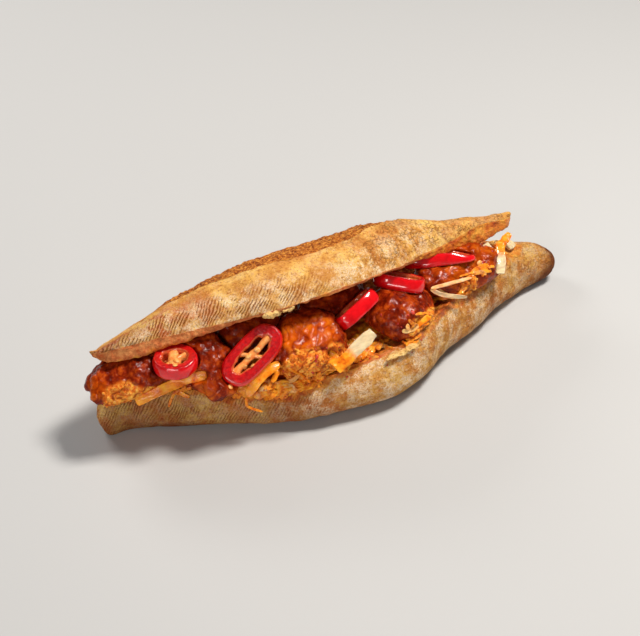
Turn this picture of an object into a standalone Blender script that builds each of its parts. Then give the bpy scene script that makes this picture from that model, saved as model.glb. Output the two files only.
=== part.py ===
"""A kimchi chicken sandwich: a split baguette filled with kimchi, glazed breaded chicken and red chilli rings.

Run it with blender --background --python part.py, or from Blender's text editor. Metres, +Z up. +X runs along the
loaf towards its round nub, and the open mouth faces -Y. The origin is under the middle of the whole, on the surface
that the loaf stands on. Each sub-part is one object with its own material.
"""

import math

import bmesh
import bpy
from mathutils import Euler, Matrix, Vector, noise

MM = 0.001

# ---------------------------------------------------------------- driving dimensions, in millimetres and degrees
GAP = 0.35  # the air kept between two touching pieces

# The lower half. One row for each place along the loaf: x, the front and back of the belly, the height of the front
# and back rims, and how far the cut face sags between them (below zero, it is crust that bulges up).
BOTTOM_STATIONS = (
    (-125, -2.4, 9, 20, 22, 1.0),
    (-110, -2.8, 14, 21.5, 24, 3.0),
    (-89, -14.5, 19, 23.5, 26, 4.5),
    (-62, -27.5, 23, 20.5, 29, 5.0),
    (-30, -41, 26, 24, 31, 6.0),
    (0, -45, 28, 28, 31, 6.0),
    (22, -41.5, 28, 30.5, 31, 6.0),
    (45, -28, 28, 29.5, 30, 5.0),
    (70, -17, 27.5, 28, 29, 4.0),
    (94, -5.6, 26, 26, 26, 1.0),
    (111, 1.6, 24, 18.5, 20, -3.5),
    (131, 1.2, 20, 15, 16, -3.5),
)
BOTTOM_END_ROUNDING = (7, 18)  # how far from the left and right ends the section starts to shrink
BOTTOM_TIPS = ((3, 12), (8.5, 10.5))  # (y, z) of the left and right tips
BELLY_HEIGHT_SHARE = 0.42  # the height of the widest line, as a share of the rim's height
WALL_LEAN = 7.5  # how far the rim stands in from the widest line
BASE_FLAT = 1.2  # the depth by which the belly is flattened where it stands

# The upper half, drawn as it lies flat on its cut face. One row for each place along the loaf: x, the back and front
# edge of the cut face counted forwards from the hinge line, the dome's height, the height of the crumb that shows
# under the front crust, and how far the cut face hangs below flat.
LID_STATIONS = (
    (-123.8, 17, 24, 3.0, 1.2, 1.6),
    (-117, 12, 30, 4.6, 2.6, 3.2),
    (-104, 8, 35.6, 8.2, 2.6, 3.2),
    (-82, 3, 42, 14.2, 2.2, 2.4),
    (-65, 1, 48, 18, 1.4, 1.0),
    (-49, 0, 55, 20.6, 1.0, 0),
    (-30, 0, 58, 22.2, 1.0, 0),
    (-5, 0, 56, 21.8, 1.0, 0),
    (15, 0, 50, 21.6, 1.0, 0),
    (33, 1, 41, 19.8, 1.0, 0.6),
    (55, 2, 32, 14.8, 1.5, 2.6),
    (70, 4, 27, 11, 3.0, 4.0),
    (85, 7, 23, 7.5, 4.6, 4.0),
    (95, 9.9, 20.4, 5.8, 3.2, 1.8),
    (104.2, 12, 18.5, 4.2, 2.2, 0.4),
)
LID_END_ROUNDING = (9, 4)
LID_TIPS = ((20, 4), (15.5, 4.2))  # (distance from the hinge line, height) of the left and right tips
HINGE = (24, 32)  # (y, z) of the line on which the lid leans back
LID_TILT = 32.5
CUT_BEVEL = 1.5  # how far the crumb's lower edge stands in from the crust's

# The ear: the lip of crust along the baker's cut, with the rough burst behind it.
EAR_SPAN = (-98, 50)
EAR_ANGLES = ((-98, 86), (-62, 66), (-31, 56), (-4, 56), (25, 68), (50, 90))  # x, degrees up from the front edge
EAR_LIP = 1.6
EAR_STEP = 2.0
EAR_EDGE, EAR_BACK = 8 / 19.6, 9 / 19.6  # the share of the way over the dome at the ear's edge and just behind it

# Breaded chicken: centre, half sizes, turn about X, Y and Z in degrees, and a seed for its lumps.
CHICKEN = (
    ((-103.5, -3.5, 35.5), (26, 12.5, 9.5), (10, -10, -8), 3),
    ((-76, -14.5, 37), (12.5, 17.5, 10.5), (34, -6, 12), 11),
    ((-31, -22.5, 37), (20, 16, 12), (26, -4, 2), 23),
    ((-6, -6, 41.5), (19, 13, 9), (26, 6, 10), 31),
    ((21.5, -20, 35.5), (19, 14, 10), (26, 4, 24), 47),
    ((64, -4.5, 35.2), (25, 13.5, 9.2), (18, 2, 8), 59),
    ((-51, -7.5, 42), (18, 12, 9.5), (26, -4, -6), 71),
)
CHICKEN_UNDERSIDE = 0.7  # how flat the side that the pieces lie on is
CHICKEN_BOXINESS = 0.82  # below 1 the lump is squarer than an ellipsoid
CHICKEN_LUMPS = ((13, 0.10), (6, 0.055), (3.2, 0.035))  # the size of the lumps, and their depth against the radius

# Chilli rings: centre, half length, half width, wall, thickness, turn about X, Y and Z in degrees, the way in which
# the pale wall (septum) crosses the hole, and how much of the thickness a slanting cut takes off the far end.
CHILLI = (
    ((-91.5, -14, 44.8), 10.4, 9.6, 4.4, 6.4, (2, -2, -28), 100, 0),
    ((-58.2, -24.7, 43.4), 17, 8.6, 4.8, 5.6, (32, -30, 10), 0, 0),
    ((-1, -18.5, 44.5), 12.5, 7.4, 2.6, 6.6, (-41, -23, 11), 0, 0),
    ((27.5, -9.5, 44.5), 12.5, 7.2, 2.6, 6.6, (-25, 8, -34), 0, 0),
    ((54.5, -1.5, 43.5), 17.5, 6.4, 2.6, 6.0, (-29, -6, -24), 0, 0.55),
)
CHILLI_STEPS = 18
SEPTUM = 2.2  # the thickness of the pale wall across a ring

# Kimchi cabbage strips: the line that each follows, its width, its thickness and its roll in degrees.
CABBAGE = (
    (((-111.5, -13.5, 28), (-99, -16, 33), (-88, -18.5, 36.5), (-80, -22.5, 38.5)), 6.2, 1.6, 10),
    (((-23, -39.5, 32), (-12.5, -37.5, 37), (-1, -35, 42.5)), 5.6, 1.5, 0),
    (((64, -16.3, 38), (54, -16.8, 39.2), (46, -17.4, 40.2), (40, -17.8, 41.2)), 2.0, 1.2, 25),
    (((58.5, -21.5, 32), (49, -20.5, 35.5), (41.5, -19.5, 38.5)), 2.2, 1.2, -20),
    (((90, 0, 40), (87, -6, 36), (83, -12.5, 31)), 5.0, 1.6, 0),
    (((-47.5, -31, 39), (-54.6, -32, 37.5), (-60.6, -32.5, 33), (-64.5, -32.5, 27.5)), 5.5, 1.1, 0),
    (((22, -31, 32.5), (27, -31, 35), (33, -29.5, 35.5)), 3.2, 1.8, 0),
    (((87, 0, 35), (90.5, -0.5, 38.5), (93.5, 0, 41), (96.5, 1, 42.5)), 4.0, 1.2, 0),
    (((-45.8, -28.5, 34.5), (-49, -31, 33.5), (-52.4, -33, 31)), 2.4, 1.2, 0),
    (((-23.4, -31.5, 37), (-22, -35.8, 35), (-21, -37.8, 33.5)), 5.0, 1.2, 0),
    (((81, 1, 38), (83.5, 1.5, 38), (86, 3, 37.5)), 3.6, 2.4, 0),
    (((101.8, 9.5, 26.4), (104.4, 10.9, 26), (106.8, 12.6, 25.3)), 4.0, 2.4, 0),
)
STRANDS = (
    ((-65.3, -32.6, 26.6), (-65.6, -32.8, 24), (-64.4, -33, 21), (-58.5, -34.6, 17)),
    ((-46.8, -27, 37), (-42.8, -33.2, 35), (-38.3, -35.6, 31.5), (-35.6, -38.4, 28)),
)
STRAND_RADIUS = 0.6

# The kimchi bed that runs through the sandwich, and the shreds that show on it.
BED_SPAN = (-117, 100)
BED_STATIONS = (  # x, front, back, top
    (-117, 0, 8, 29),
    (-104, -3, 8, 29.5),
    (-80, -12, 12, 30),
    (-58, -29, 14, 30.5),
    (-40, -36, 14, 30.5),
    (-20, -35, 14, 29),
    (10, -31, 14, 30),
    (40, -15, 14, 30),
    (70, -7, 14, 30),
    (100, 2, 16, 28),
)
BED_FLOOR = 17
SHRED_COUNT = 10
SHRED_SIZE = (17, 2.6, 1.4)  # length, width, thickness
SEED = 7

# Looks: a base colour and a roughness.
CRUST = ((0.68, 0.42, 0.20), 0.75)
BREADING = ((0.52, 0.16, 0.05), 0.40)
CHILLI_SKIN = ((0.66, 0.02, 0.02), 0.20)
PICKLED = ((0.85, 0.55, 0.22), 0.35)


# ---------------------------------------------------------------- small helpers
def clear_scene():
    for obj in list(bpy.data.objects):
        bpy.data.objects.remove(obj, do_unlink=True)


def new_collection(name):
    made = bpy.data.collections.new(name)
    bpy.context.scene.collection.children.link(made)
    return made


def food_material(name, colour, roughness):
    material = bpy.data.materials.new(name)
    material.use_nodes = True
    shader = material.node_tree.nodes["Principled BSDF"]
    shader.inputs["Base Color"].default_value = (*colour, 1.0)
    shader.inputs["Roughness"].default_value = roughness
    shader.inputs["Metallic"].default_value = 0.0
    return material


def mix(a, b, share):
    return a + (b - a) * share


def signed_power(value, power):
    return math.copysign(abs(value) ** power, value)


def smooth_row(rows, x):
    """The row at x on a smooth curve through the rows, whose first column is x."""
    x = min(max(x, rows[0][0]), rows[-1][0])
    i = next(k for k in range(len(rows) - 1) if x <= rows[k + 1][0])
    before, low, high, after = rows[max(i - 1, 0)], rows[i], rows[i + 1], rows[min(i + 2, len(rows) - 1)]
    step = high[0] - low[0]
    t = (x - low[0]) / step
    columns = []
    for c in range(1, len(low)):
        start = (high[c] - before[c]) / (high[0] - before[0]) * step
        end = (after[c] - low[c]) / (after[0] - low[0]) * step
        rise = high[c] - low[c]
        columns.append(low[c] + t * (start + t * (3 * rise - 2 * start - end + t * (start + end - 2 * rise))))
    return columns


def lumpiness(point, size, seed):
    """A smooth random number near -1 to 1 at a point, which changes over that size."""
    return noise.noise(Vector(point) / size + Vector((seed * 1.7, seed * 0.9, -seed * 1.3)))


def warped_sphere(name, rings, around, place):
    """A sphere whose every point is moved to place(along, turn): along goes from pole to pole, turn once round."""
    bm = bmesh.new()
    bmesh.ops.create_uvsphere(bm, u_segments=around, v_segments=rings, radius=1.0)
    for vert in bm.verts:
        along = math.acos(min(max(vert.co.z, -1.0), 1.0)) / math.pi
        turn = (math.atan2(vert.co.y, vert.co.x) / (2 * math.pi) + 1e-6) % 1.0
        vert.co = Vector(place(along, turn)) * MM
    return closed_object(name, bm)


def face_outwards(bm):
    if bm.calc_volume(signed=True) < 0:
        bmesh.ops.reverse_faces(bm, faces=bm.faces)


def closed_object(name, bm):
    """A new object from a closed bmesh, with its faces pointing out."""
    face_outwards(bm)
    mesh = bpy.data.meshes.new(name)
    bm.to_mesh(mesh)
    bm.free()
    return bpy.data.objects.new(name, mesh)


def evaluated_copy(obj, name):
    """A plain mesh object of obj with its modifiers applied, in world space."""
    bpy.context.view_layer.update()
    graph = bpy.context.evaluated_depsgraph_get()
    mesh = bpy.data.meshes.new_from_object(obj.evaluated_get(graph), depsgraph=graph)
    mesh.transform(obj.matrix_world)
    return bpy.data.objects.new(name, mesh)


def add_piece(obj, look):
    """Puts obj in the part's collection, with a material of its own."""
    obj.data.materials.clear()
    obj.data.materials.append(food_material(obj.name, *look))
    PARTS.objects.link(obj)
    return obj


def box_of(obj):
    corners = [obj.matrix_world @ Vector(corner) for corner in obj.bound_box]
    return [min(c[k] for c in corners) for k in range(3)], [max(c[k] for c in corners) for k in range(3)]


def boxes_meet(a, b, margin):
    (low_a, high_a), (low_b, high_b) = box_of(a), box_of(b)
    return all(low_a[k] <= high_b[k] + margin and low_b[k] <= high_a[k] + margin for k in range(3))


def grown_cutter(obj, by):
    """A hidden copy of obj, swollen so that its faces move out by about that much."""
    cutter = evaluated_copy(obj, "cut_" + obj.name)
    bm = bmesh.new()
    bm.from_mesh(cutter.data)
    bm.normal_update()
    moves = []
    for vert in bm.verts:
        square = min((vert.normal.dot(face.normal) for face in vert.link_faces), default=1.0)
        moves.append(vert.normal * by / max(square, 0.45))
    for vert, move in zip(bm.verts, moves):
        vert.co += move
    bm.to_mesh(cutter.data)
    bm.free()
    CUTTERS.objects.link(cutter)
    cutter.hide_render = True
    cutter.display_type = "WIRE"
    return cutter


def keep_largest_island(mesh):
    """Drops the loose scraps and sealed hollows that a cut has left."""
    bm = bmesh.new()
    bm.from_mesh(mesh)
    bmesh.ops.remove_doubles(bm, verts=bm.verts, dist=0.0015 * MM)
    bmesh.ops.dissolve_degenerate(bm, dist=0.003 * MM, edges=bm.edges)
    bmesh.ops.triangulate(bm, faces=bm.faces)
    bm.faces.ensure_lookup_table()
    bm.faces.index_update()
    unseen, islands = set(range(len(bm.faces))), []
    while unseen:
        first = min(unseen)
        unseen.discard(first)
        island, front = [first], [bm.faces[first]]
        while front:
            for edge in front.pop().edges:
                for other in edge.link_faces if len(edge.link_faces) == 2 else ():
                    if other.index in unseen:
                        unseen.discard(other.index)
                        island.append(other.index)
                        front.append(other)
        islands.append(island)
    kept = set(max(islands, key=len))
    bmesh.ops.delete(bm, geom=[f for f in bm.faces if f.index not in kept], context="FACES")
    bm.to_mesh(mesh)
    bm.free()


def bake_shape(obj):
    """Applies obj's modifiers to its mesh."""
    graph = bpy.context.evaluated_depsgraph_get()
    mesh = bpy.data.meshes.new_from_object(obj.evaluated_get(graph), depsgraph=graph)
    obj.modifiers.clear()
    obj.data = mesh


def carve(obj, neighbours):
    """Cuts the neighbours, and the gap round them, out of obj.

    The EXACT solver loses pieces of these craggy lumps, and not the same ones each run, so the cuts use MANIFOLD.
    """
    bpy.context.view_layer.update()
    for other in neighbours:
        if not boxes_meet(obj, other, GAP * MM):
            continue
        cut = obj.modifiers.new("clear of " + other.name, "BOOLEAN")
        cut.operation = "DIFFERENCE"
        cut.solver = "MANIFOLD"
        cut.object = grown_cutter(other, GAP * MM)
    bake_shape(obj)
    keep_largest_island(obj.data)


# ---------------------------------------------------------------- the bread
def station_x(stations, along):
    """x at a share of the way along, with the sections closer together near the ends."""
    eased = 0.45 * along + 0.55 * (1 - math.cos(math.pi * along)) / 2
    return mix(stations[0][0], stations[-1][0], eased)


def end_shrink(stations, rounding, x):
    """The size of the section near a rounded end, from 0 at the tip to 1."""
    left = min((x - stations[0][0]) / rounding[0], 1.0)
    right = min((stations[-1][0] - x) / rounding[1], 1.0)
    return math.sqrt(max(1 - (1 - left) ** 2, 0.0)) * math.sqrt(max(1 - (1 - right) ** 2, 0.0))


def shrunk_to_tip(stations, rounding, tips, x, across, height):
    """Draws a section point in towards the tip of the nearer end."""
    share = end_shrink(stations, rounding, x)
    tip = tips[0] if x < (stations[0][0] + stations[-1][0]) / 2 else tips[1]
    return mix(tip[0], across, share), mix(tip[1], height, share)


CRUST_SHARE = 0.7  # the part of each bread section that is crust, the rest being the cut face
WALL_SHARE = 0.2  # the part of the lower crust that is the wall between the rim and the widest line


def bottom_section(x, turn):
    """(y, z) on the lower half's section at x. turn starts at the front rim and goes down round the belly."""
    front, back, rim_front, rim_back, sag = smooth_row(BOTTOM_STATIONS, x)
    middle, half = (front + back) / 2, (back - front) / 2
    lean = min(WALL_LEAN, 0.32 * half)
    if turn > CRUST_SHARE:
        across = (turn - CRUST_SHARE) / (1 - CRUST_SHARE)
        height = mix(rim_back, rim_front, across) - sag * math.sin(math.pi * across) ** 0.7
        return mix(back - lean, front + lean, across), height
    down = turn / CRUST_SHARE
    side = -1 if down < 0.5 else 1
    rim = rim_front if side < 0 else rim_back
    widest = BELLY_HEIGHT_SHARE * rim
    from_rim = min(down, 1 - down) / WALL_SHARE
    if from_rim < 1:
        return middle + side * (half - lean * (1 - from_rim) ** 2), mix(rim, widest, from_rim)
    angle = math.pi * (down - WALL_SHARE) / (1 - 2 * WALL_SHARE)
    depth = (widest + BASE_FLAT) * signed_power(math.sin(angle), 0.9)
    return middle - half * signed_power(math.cos(angle), 0.9), max(widest - depth, 0.0)


def bread_bottom():
    def place(along, turn):
        x = station_x(BOTTOM_STATIONS, along)
        y, z = bottom_section(x, turn)
        y, z = shrunk_to_tip(BOTTOM_STATIONS, BOTTOM_END_ROUNDING, BOTTOM_TIPS, x, y, z)
        if z > 3:  # the crust isn't even, and the base is
            uneven = 0.8 * lumpiness((x, y, z), 19, 2)
            y, z = y + uneven, z + uneven
        return x, y, z

    return warped_sphere("bread_bottom", 36, 28, place)


def ear_angle(x):
    return smooth_row(EAR_ANGLES, x)[0]


def ear_strength(x):
    low, high = EAR_SPAN
    return min(max(min((x - low) / 24, (high - x) / 28), 0.0), 1.0)


def dome_angle(x, over):
    """Degrees up from the front edge, with one row of points on the ear's edge and the next just behind it."""
    if over < (EAR_EDGE + EAR_BACK) / 2:
        eared = ear_angle(x) * over / EAR_EDGE
    else:
        eared = mix(ear_angle(x) + 2.5, 180, (over - EAR_BACK) / (1 - EAR_BACK))
    return mix(180 * over, eared, min(4 * ear_strength(x), 1.0))


def ear_relief(x, angle, behind):
    """How far the ear raises the dome in front of its edge, and the burst behind it lowers it."""
    past = abs(angle - ear_angle(x))
    if behind:
        return ear_strength(x) * (EAR_LIP - EAR_STEP * 1.35 * math.exp(-((past / 24) ** 2)) - EAR_LIP * min(past / 50, 1))
    return ear_strength(x) * EAR_LIP * math.exp(-((past / 16) ** 2))


UNDERSIDE_STEPS = 7 / 9  # the part of the cut face's points that lie on its underside, the rest being the bevel


def lid_section(x, turn):
    """(distance from the hinge line, height) on the lid's section at x, from the front crust edge over the dome."""
    back, front, dome, lip, hang = smooth_row(LID_STATIONS, x)
    middle, half = (front + back) / 2, (front - back) / 2
    if turn > CRUST_SHARE:
        across = (turn - CRUST_SHARE) / (1 - CRUST_SHARE)
        if across < UNDERSIDE_STEPS:
            forwards = across / UNDERSIDE_STEPS
            return mix(back, front - CUT_BEVEL, forwards), -hang * forwards
        up = (across - UNDERSIDE_STEPS) / (1 - UNDERSIDE_STEPS)
        return mix(front - CUT_BEVEL, front, up), mix(-hang, lip, up)
    over = turn / CRUST_SHARE
    angle = dome_angle(x, over)
    rise = math.sin(math.radians(angle)) ** 0.85
    reach = signed_power(math.cos(math.radians(angle)), 0.9)
    height = lip * (1 - over) ** 3 + (dome + ear_relief(x, angle, over > EAR_EDGE + 0.01)) * rise
    return middle + half * reach, height


def bread_top():
    def place(along, turn):
        x = station_x(LID_STATIONS, along)
        forwards, height = lid_section(x, turn)
        forwards, height = shrunk_to_tip(LID_STATIONS, LID_END_ROUNDING, LID_TIPS, x, forwards, height)
        if height > 1:
            height += 0.9 * lumpiness((x, forwards, height), 17, 5)
        return x, -forwards, height

    lid = warped_sphere("bread_top", 36, 28, place)
    lid.location = Vector((0, *HINGE)) * MM
    lid.rotation_euler.x = -math.radians(LID_TILT)
    return lid


# ---------------------------------------------------------------- the filling
def chicken_piece(number, centre, half_sizes, turns, seed):
    """A boxy lump with crags, from a warped sphere."""

    def place(along, turn):
        polar, azimuth = math.pi * along, 2 * math.pi * turn
        direction = Vector(
            (math.cos(polar), math.sin(polar) * math.cos(azimuth), math.sin(polar) * math.sin(azimuth))
        )
        point = Vector([half_sizes[k] * signed_power(direction[k], CHICKEN_BOXINESS) for k in range(3)])
        if point.z < 0:
            point.z *= CHICKEN_UNDERSIDE
        swell = sum(depth * lumpiness(point, size, seed) for size, depth in CHICKEN_LUMPS)
        return point * (1 + 1.6 * swell)

    piece = warped_sphere(f"chicken_{number}", 12, 16, place)
    piece.location = Vector(centre) * MM
    piece.rotation_euler = Euler([math.radians(a) for a in turns])
    return piece


def chilli_profile(radius, wall, thickness):
    """The outline of a ring's wall, down its outer side and up its inner side."""
    inner, half, round_off = radius - wall, thickness / 2, 0.7
    return (
        (radius - round_off, half),
        (radius, half - round_off),
        (radius, -half + round_off),
        (radius - round_off, -half),
        (inner, -half),
        (inner, half),
    )


def chilli_ring(number, centre, half_length, half_width, wall, thickness, turns, septum_turn, slant):
    """A ring turned from its wall's outline, drawn out to an oval, with a pale septum across it."""
    name = f"chilli_{number}"
    bm = bmesh.new()
    outline = chilli_profile(half_width, wall, thickness)
    verts = [bm.verts.new(Vector((r, 0, z)) * MM) for r, z in outline]
    for k in range(len(verts)):
        bm.edges.new((verts[k], verts[(k + 1) % len(verts)]))
    mesh = bpy.data.meshes.new(name)
    bm.to_mesh(mesh)
    bm.free()
    ring = bpy.data.objects.new(name + "_turned", mesh)
    bpy.context.scene.collection.objects.link(ring)
    screw = ring.modifiers.new("turn", "SCREW")
    screw.steps = screw.render_steps = CHILLI_STEPS
    screw.use_merge_vertices = True
    screw.merge_threshold = 0.00001
    body = evaluated_copy(ring, name)
    bpy.data.objects.remove(ring)
    stretch = half_length - half_width
    for vert in body.data.vertices:  # the two half circles are pulled apart, more on the outside
        vert.co.x += stretch * MM * math.tanh(vert.co.x / (0.35 * half_width * MM))
        if vert.co.z > 0:
            out = min(max((vert.co.x / MM / half_length - 0.3) / 0.7, 0.0), 1.0)
            vert.co.z -= slant * thickness * out * MM
    bm = bmesh.new()
    bmesh.ops.create_cube(bm, size=1.0)
    across = mix(half_length, half_width, abs(math.sin(math.radians(septum_turn))))
    size = Vector((2 * across - 1.2 * wall, SEPTUM, thickness * (1 - slant) - 1.4)) * MM
    bmesh.ops.scale(bm, verts=bm.verts, vec=size)
    bmesh.ops.translate(bm, verts=bm.verts, vec=(0, 0, -0.5 * slant * thickness * MM))
    bmesh.ops.rotate(bm, verts=bm.verts, matrix=Matrix.Rotation(math.radians(septum_turn), 3, "Z"))
    septum = closed_object(name + "_septum", bm)
    bpy.context.scene.collection.objects.link(septum)
    join = body.modifiers.new("septum", "BOOLEAN")
    join.operation = "UNION"
    join.solver = "MANIFOLD"
    join.object = septum
    PARTS.objects.link(body)
    bpy.context.view_layer.update()
    bake_shape(body)
    PARTS.objects.unlink(body)
    bpy.data.objects.remove(septum)
    body.location = Vector(centre) * MM
    body.rotation_euler = Euler([math.radians(a) for a in turns])
    return body


def curve_point(points, share):
    """A point at a share of the way along a smooth curve through the points."""
    rows = [(k, *p) for k, p in enumerate(points)]
    return Vector(smooth_row(rows, share * (len(points) - 1)))


OUTWARDS = Vector((-0.37, -0.69, 0.62))  # out of the mouth and up, which is the way the strips face


def strip_object(name, points, width, thickness, roll, steps=7, seed=1):
    """A flat wavy strip along a line: a grid bent along it and given its thickness."""
    bm = bmesh.new()
    bmesh.ops.create_grid(bm, x_segments=steps, y_segments=1, size=1.0)
    for vert in bm.verts:
        share, side = (vert.co.x + 1) / 2, vert.co.y
        here = curve_point(points, share)
        ahead = curve_point(points, min(share + 0.02, 1)) - curve_point(points, max(share - 0.02, 0))
        sideways = ahead.normalized().cross(OUTWARDS).normalized()
        sideways.rotate(Matrix.Rotation(math.radians(roll), 3, ahead))
        wave = lumpiness((here.x, here.y, side * 3), 7, seed)
        outwards = sideways.cross(ahead.normalized())
        taper = 1 - 0.35 * abs(2 * share - 1) ** 3
        across = side * taper * (1 + 0.3 * wave) * width / 2
        vert.co = (here + sideways * across + outwards * (0.5 * wave + 0.35 * side * side)) * MM
    mesh = bpy.data.meshes.new(name)
    bm.to_mesh(mesh)
    bm.free()
    sheet = bpy.data.objects.new(name + "_sheet", mesh)
    bpy.context.scene.collection.objects.link(sheet)
    solidify = sheet.modifiers.new("thickness", "SOLIDIFY")
    solidify.thickness = thickness * MM
    solidify.offset = 0.0
    strip = evaluated_copy(sheet, name)
    bpy.data.objects.remove(sheet)
    return outward_facing(strip)


def outward_facing(obj):
    bm = bmesh.new()
    bm.from_mesh(obj.data)
    face_outwards(bm)
    bm.to_mesh(obj.data)
    bm.free()
    return obj


def strand_object(name, points, radius):
    """A thin round shred: a bevelled curve made a closed mesh."""
    curve = bpy.data.curves.new(name, "CURVE")
    curve.dimensions = "3D"
    curve.bevel_depth = radius * MM
    curve.bevel_resolution = 1
    curve.use_fill_caps = True
    spline = curve.splines.new("POLY")
    count = 13
    spline.points.add(count - 1)
    for k in range(count):
        spline.points[k].co = (*(curve_point(points, k / (count - 1)) * MM), 1.0)
    line = bpy.data.objects.new(name + "_line", curve)
    bpy.context.scene.collection.objects.link(line)
    strand = evaluated_copy(line, name)
    bpy.data.objects.remove(line)
    bm = bmesh.new()
    bm.from_mesh(strand.data)
    bmesh.ops.remove_doubles(bm, verts=bm.verts, dist=0.001 * MM)
    bm.to_mesh(strand.data)
    bm.free()
    return outward_facing(strand)


def bed_core():
    def place(along, turn):
        low, high = BED_SPAN
        x = mix(low, high, 0.4 * along + 0.6 * (1 - math.cos(math.pi * along)) / 2)
        front, back, top = smooth_row(BED_STATIONS, x)
        size = min(math.sin(math.pi * along) * 3, 1.0) ** 0.6
        azimuth = 2 * math.pi * turn
        y = mix(front, back, 0.5 + 0.5 * size * signed_power(math.cos(azimuth), 0.7))
        middle = (top + BED_FLOOR) / 2
        z = middle + (top - middle) * size * signed_power(math.sin(azimuth), 0.7)
        bump = 2.4 * lumpiness((x, y, z), 6.5, 17) + 1.6 * lumpiness((x, y, z), 3.5, 29)
        return x, y + (bump if y < mix(front, back, 0.5) else -bump), z + bump

    return warped_sphere("kimchi", 22, 12, place)


def bed_shreds():
    """Short shreds laid on the front of the bed, evenly spaced with seeded turns."""
    shreds = []
    length, width, thickness = SHRED_SIZE
    for k in range(SHRED_COUNT):
        share = (k + 0.5) / SHRED_COUNT
        jitter = [lumpiness((k * 3.1, n * 5.3, 1.0), 1.37, SEED) for n in range(5)]
        x = mix(BED_SPAN[0] + 8, BED_SPAN[1] - 4, share) + 3 * jitter[0]
        front, _, top = smooth_row(BED_STATIONS, x)
        centre = Vector((x, front + 1.0 + 3 * jitter[1], top - 3.5 + 4 * jitter[2]))
        heading = Vector((1.0, 0.9 * jitter[3], 1.3 * jitter[4])).normalized()
        bow = Vector((0, -1.2, 1.0)) * (1 + jitter[0])
        half = heading * length * (0.5 + 0.25 * jitter[1])
        points = (centre - half, centre - half * 0.3 + bow, centre + half * 0.4 + bow * 0.7, centre + half - bow)
        shreds.append(strip_object(f"shred_{k}", points, width, thickness, 40 * jitter[2], steps=4, seed=k))
    return shreds


def kimchi_bed():
    """The heap of kimchi: its core and the shreds that show, joined by one union."""
    core = bed_core()
    PARTS.objects.link(core)
    loose = new_collection("shreds")
    for shred in bed_shreds():
        loose.objects.link(shred)
    join = core.modifiers.new("shreds", "BOOLEAN")
    join.operation = "UNION"
    join.solver = "MANIFOLD"
    join.operand_type = "COLLECTION"
    join.collection = loose
    bpy.context.view_layer.update()
    bake_shape(core)
    for shred in list(loose.objects):
        bpy.data.objects.remove(shred)
    bpy.data.collections.remove(loose)
    PARTS.objects.unlink(core)
    return core


# ---------------------------------------------------------------- the sandwich
def shade_round(objects, sharp_from=38):
    for obj in objects:
        obj.data.shade_smooth()
        obj.data.set_sharp_from_angle(angle=math.radians(sharp_from))


def centre_on_origin(objects):
    """Slides the whole so that its box stands on the origin, centred."""
    bpy.context.view_layer.update()
    points = [obj.matrix_world @ vert.co for obj in objects for vert in obj.data.vertices]
    low = [min(p[k] for p in points) for k in range(3)]
    high = [max(p[k] for p in points) for k in range(3)]
    shift = Vector((-(low[0] + high[0]) / 2, -(low[1] + high[1]) / 2, -low[2]))
    for obj in objects:
        obj.location += shift


def build():
    lower = add_piece(bread_bottom(), CRUST)
    upper = add_piece(bread_top(), CRUST)
    chillies = [add_piece(chilli_ring(k + 1, *row), CHILLI_SKIN) for k, row in enumerate(CHILLI)]
    strips = [
        add_piece(strip_object(f"cabbage_{k + 1}", *row, seed=k + 3), PICKLED) for k, row in enumerate(CABBAGE)
    ]
    for k, points in enumerate(STRANDS):
        strips.append(add_piece(strand_object(f"cabbage_strand_{k + 1}", points, STRAND_RADIUS), PICKLED))

    settled = [lower, upper]
    for group in (chillies, strips):
        for piece in group:
            carve(piece, settled)
            settled.append(piece)
    for k, row in enumerate(CHICKEN):
        piece = add_piece(chicken_piece(k + 1, *row), BREADING)
        carve(piece, settled)
        settled.append(piece)
    bed = add_piece(kimchi_bed(), PICKLED)
    carve(bed, settled)
    settled.append(bed)
    shade_round(settled)
    centre_on_origin(settled)


clear_scene()
PARTS = new_collection("kimchi_chicken_sandwich")
CUTTERS = new_collection("cutters")
build()
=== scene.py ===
"""The looks of the kimchi chicken sandwich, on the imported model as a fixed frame."""

import math
import random

import bmesh
import bpy
import numpy as np
from mathutils import Euler, Matrix, Vector, bvhtree, kdtree, noise


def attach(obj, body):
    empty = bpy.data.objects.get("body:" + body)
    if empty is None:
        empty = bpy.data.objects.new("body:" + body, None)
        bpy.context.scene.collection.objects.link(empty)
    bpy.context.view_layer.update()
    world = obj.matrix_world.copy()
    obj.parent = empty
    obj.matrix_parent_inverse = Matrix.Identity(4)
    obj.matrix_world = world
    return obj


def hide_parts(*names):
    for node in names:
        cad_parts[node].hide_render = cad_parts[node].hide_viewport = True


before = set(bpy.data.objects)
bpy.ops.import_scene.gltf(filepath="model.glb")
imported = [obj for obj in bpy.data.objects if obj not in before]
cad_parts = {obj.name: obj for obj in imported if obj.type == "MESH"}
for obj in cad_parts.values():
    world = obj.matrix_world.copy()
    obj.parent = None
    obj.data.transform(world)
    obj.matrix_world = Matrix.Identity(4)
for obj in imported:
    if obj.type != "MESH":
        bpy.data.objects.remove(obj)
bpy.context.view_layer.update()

MM = 0.001
SHIFT = Vector((-0.376, 8.549, 0.0))  # millimetres from the sandwich's drawing frame to the row frame
OUTWARDS = Vector((-0.37, -0.69, 0.62)).normalized()  # out of the mouth and up, the way the filling faces

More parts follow.
